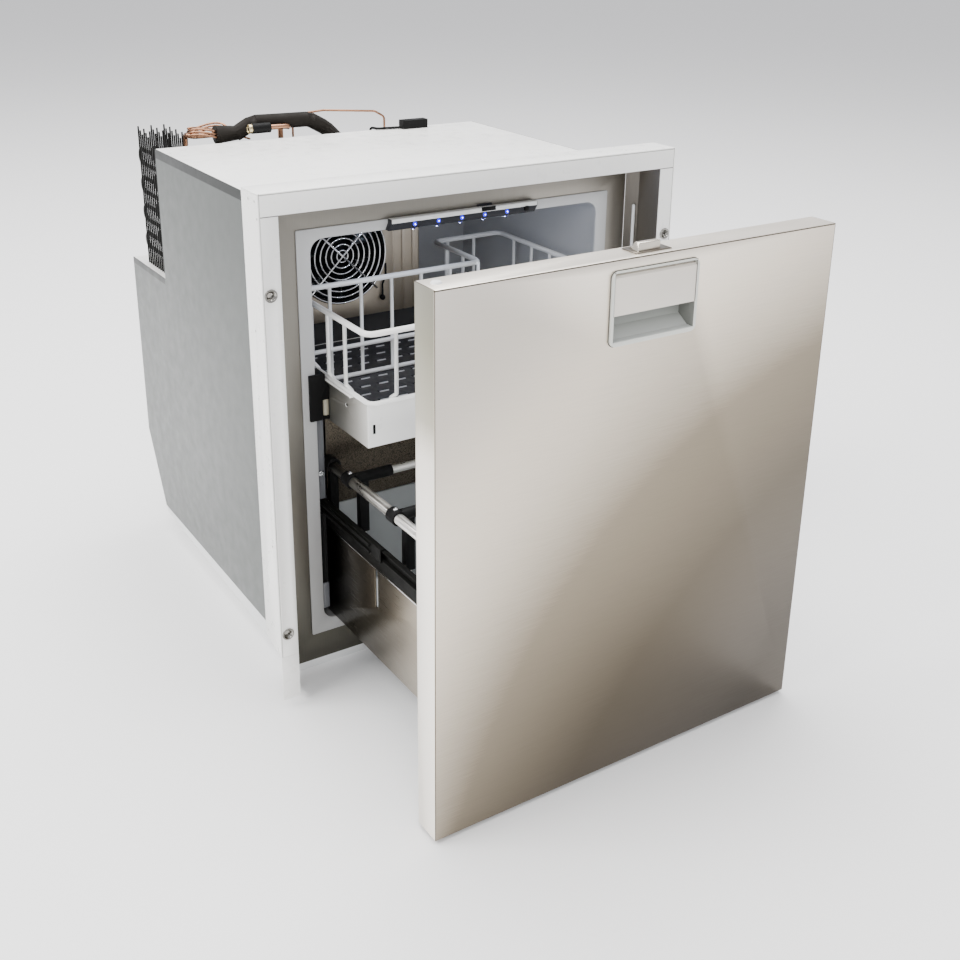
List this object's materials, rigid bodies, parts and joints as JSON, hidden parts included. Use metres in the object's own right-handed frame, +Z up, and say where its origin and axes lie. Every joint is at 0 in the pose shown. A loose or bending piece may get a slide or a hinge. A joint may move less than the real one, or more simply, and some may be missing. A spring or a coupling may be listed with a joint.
{
  "type": "drawer freezer",
  "caption": "Built-in drawer freezer: insulated cabinet with a trim frame, a steel-fronted drawer on telescopic slides, a sliding tray with a wire basket and a rear cooling unit.",
  "frame": {"origin": "centre of the flat underside of the base pan", "axes": "+X to the object's left-to-right as seen from the front, +Y to the back, +Z up; the drawer opens towards -Y"},
  "size_m": [0.5, 0.7635, 0.5575],
  "materials": {
    "painted_white": "satin",
    "painted_grey": "satin",
    "front_steel": "brushed",
    "frame_steel": "brushed",
    "white_plastic": "satin",
    "tub_plastic": "satin",
    "grey_plastic": "satin",
    "black_plastic": "matte",
    "cream_plastic": "satin",
    "black_steel": "satin",
    "chrome": "polished",
    "fin_aluminium": "mill",
    "rubber": "matte",
    "black_foam": "matte",
    "copper": "bare",
    "insulation": "matte",
    "lens": "clear"
  },
  "bodies": {
    "cabinet": {"top_skin": "painted_white", "notch_skin": "painted_white", "trim_frame": "painted_white", "side_skin_left": "painted_grey", "side_skin_right": "painted_grey", "rear_lower_cover": "painted_grey", "rail_brackets": "painted_grey", "face_frame": "frame_steel", "recess_frame": "frame_steel", "evaporator_cover": "frame_steel", "slides_fixed": "frame_steel", "liner": "white_plastic", "base_pan": "white_plastic", "side_buffers": "white_plastic", "support_ledges": "white_plastic", "guide_pads": "grey_plastic", "runner_blocks": "black_plastic", "light_bar": "black_plastic", "fan_guard": "black_plastic", "evaporator_fan_housing": "black_plastic", "temperature_probe": "black_plastic", "condenser_fan_housing": "black_plastic", "plug_connector": "black_plastic", "electronics_box": "black_plastic", "compressor": "black_steel", "condenser": "black_steel", "screw_cups": "chrome", "evaporator": "fin_aluminium", "suction_pipe": "black_foam", "copper_pipes": "copper", "cabinet_foam": "insulation", "led_lenses": "lens"},
    "drawer": {"slides_drawer": "frame_steel", "front_skin": "front_steel", "front_foam": "insulation", "inner_pan": "white_plastic", "gasket": "rubber", "handle_bezel": "grey_plastic", "latch_plate": "chrome", "front_cap": "white_plastic", "box_sides": "frame_steel", "box_tub": "tub_plastic", "divider_rails": "chrome", "rail_sockets": "black_plastic"},
    "slide_left": {"slide_middle_left": "black_steel"},
    "slide_right": {"slide_middle_right": "black_steel"},
    "tray": {"tray": "painted_white", "slotted_mat": "rubber", "wire_basket": "painted_white"},
    "flap": {"handle_flap": "grey_plastic"},
    "bolt": {"latch_bolt": "chrome"},
    "front_divider": {"divider_front": "chrome"},
    "rear_divider": {"divider_rear": "chrome"},
    "button": {"control_button": "black_plastic"},
    "cavity_fan": {"evaporator_fan_rotor": "black_plastic"},
    "condenser_fan": {"condenser_fan_rotor": "black_plastic"},
    "guide_left": {"guide_roller_left": "cream_plastic"},
    "guide_right": {"guide_roller_right": "cream_plastic"},
    "support_left": {"support_roller_left": "white_plastic"},
    "support_right": {"support_roller_right": "white_plastic"}
  },
  "joints": [
    {"name": "drawer_slide", "type": "slide", "parent": "cabinet", "child": "drawer", "axis": [0, -1, 0], "range_m": [-0.266, 0.084]},
    {"name": "slide_left_run", "type": "slide", "parent": "cabinet", "child": "slide_left", "axis": [0, -1, 0], "range_m": [-0.133, 0.042]},
    {"name": "slide_right_run", "type": "slide", "parent": "cabinet", "child": "slide_right", "axis": [0, -1, 0], "range_m": [-0.133, 0.042]},
    {"name": "tray_slide", "type": "slide", "parent": "cabinet", "child": "tray", "axis": [0, -1, 0], "range_m": [-0.074, 0.0235]},
    {"name": "flap_hinge", "type": "hinge", "parent": "drawer", "child": "flap", "pos_m": [0, -0.512, 0.512], "axis": [-1, 0, 0], "range_deg": [0, 22]},
    {"name": "bolt_slide", "type": "slide", "parent": "drawer", "child": "bolt", "axis": [0, 0, -1], "range_m": [0, 0.009], "stiffness_N_per_m": 400, "springref_m": -0.008},
    {"name": "front_divider_slide", "type": "slide", "parent": "drawer", "child": "front_divider", "axis": [0, 1, 0], "range_m": [-0.09, 0.04]},
    {"name": "rear_divider_slide", "type": "slide", "parent": "drawer", "child": "rear_divider", "axis": [0, 1, 0], "range_m": [-0.035, 0.03]},
    {"name": "button_press", "type": "slide", "parent": "cabinet", "child": "button", "axis": [0, 1, 0], "range_m": [0, 0.0015], "stiffness_N_per_m": 600, "springref_m": -0.001},
    {"name": "cavity_fan_spin", "type": "hinge", "parent": "cabinet", "child": "cavity_fan", "pos_m": [-0.065, -0.03, 0.422], "axis": [0, 1, 0], "continuous": true},
    {"name": "condenser_fan_spin", "type": "hinge", "parent": "cabinet", "child": "condenser_fan", "pos_m": [-0.148, 0.185, 0.4295], "axis": [1, 0, 0], "continuous": true},
    {"name": "guide_left_spin", "type": "hinge", "parent": "cabinet", "child": "guide_left", "pos_m": [-0.167, -0.201, 0.311], "axis": [0, 0, 1], "continuous": true},
    {"name": "guide_right_spin", "type": "hinge", "parent": "cabinet", "child": "guide_right", "pos_m": [0.167, -0.201, 0.311], "axis": [0, 0, 1], "continuous": true},
    {"name": "support_left_spin", "type": "hinge", "parent": "cabinet", "child": "support_left", "pos_m": [-0.167, -0.178, 0.3322], "axis": [1, 0, 0], "continuous": true},
    {"name": "support_right_spin", "type": "hinge", "parent": "cabinet", "child": "support_right", "pos_m": [0.167, -0.178, 0.3322], "axis": [1, 0, 0], "continuous": true}
  ],
  "couplings": [
    {"joint": "slide_left_run", "follows": "drawer_slide", "ratio": 0.5},
    {"joint": "slide_right_run", "follows": "drawer_slide", "ratio": 0.5},
    {"joint": "tray_slide", "follows": "drawer_slide", "ratio": 0.278},
    {"joint": "flap_hinge", "follows": "bolt_slide", "rad_per_m": 42.66},
    {"joint": "support_left_spin", "follows": "drawer_slide", "rad_per_m": 39.714},
    {"joint": "support_right_spin", "follows": "drawer_slide", "rad_per_m": 39.714}
  ]
}
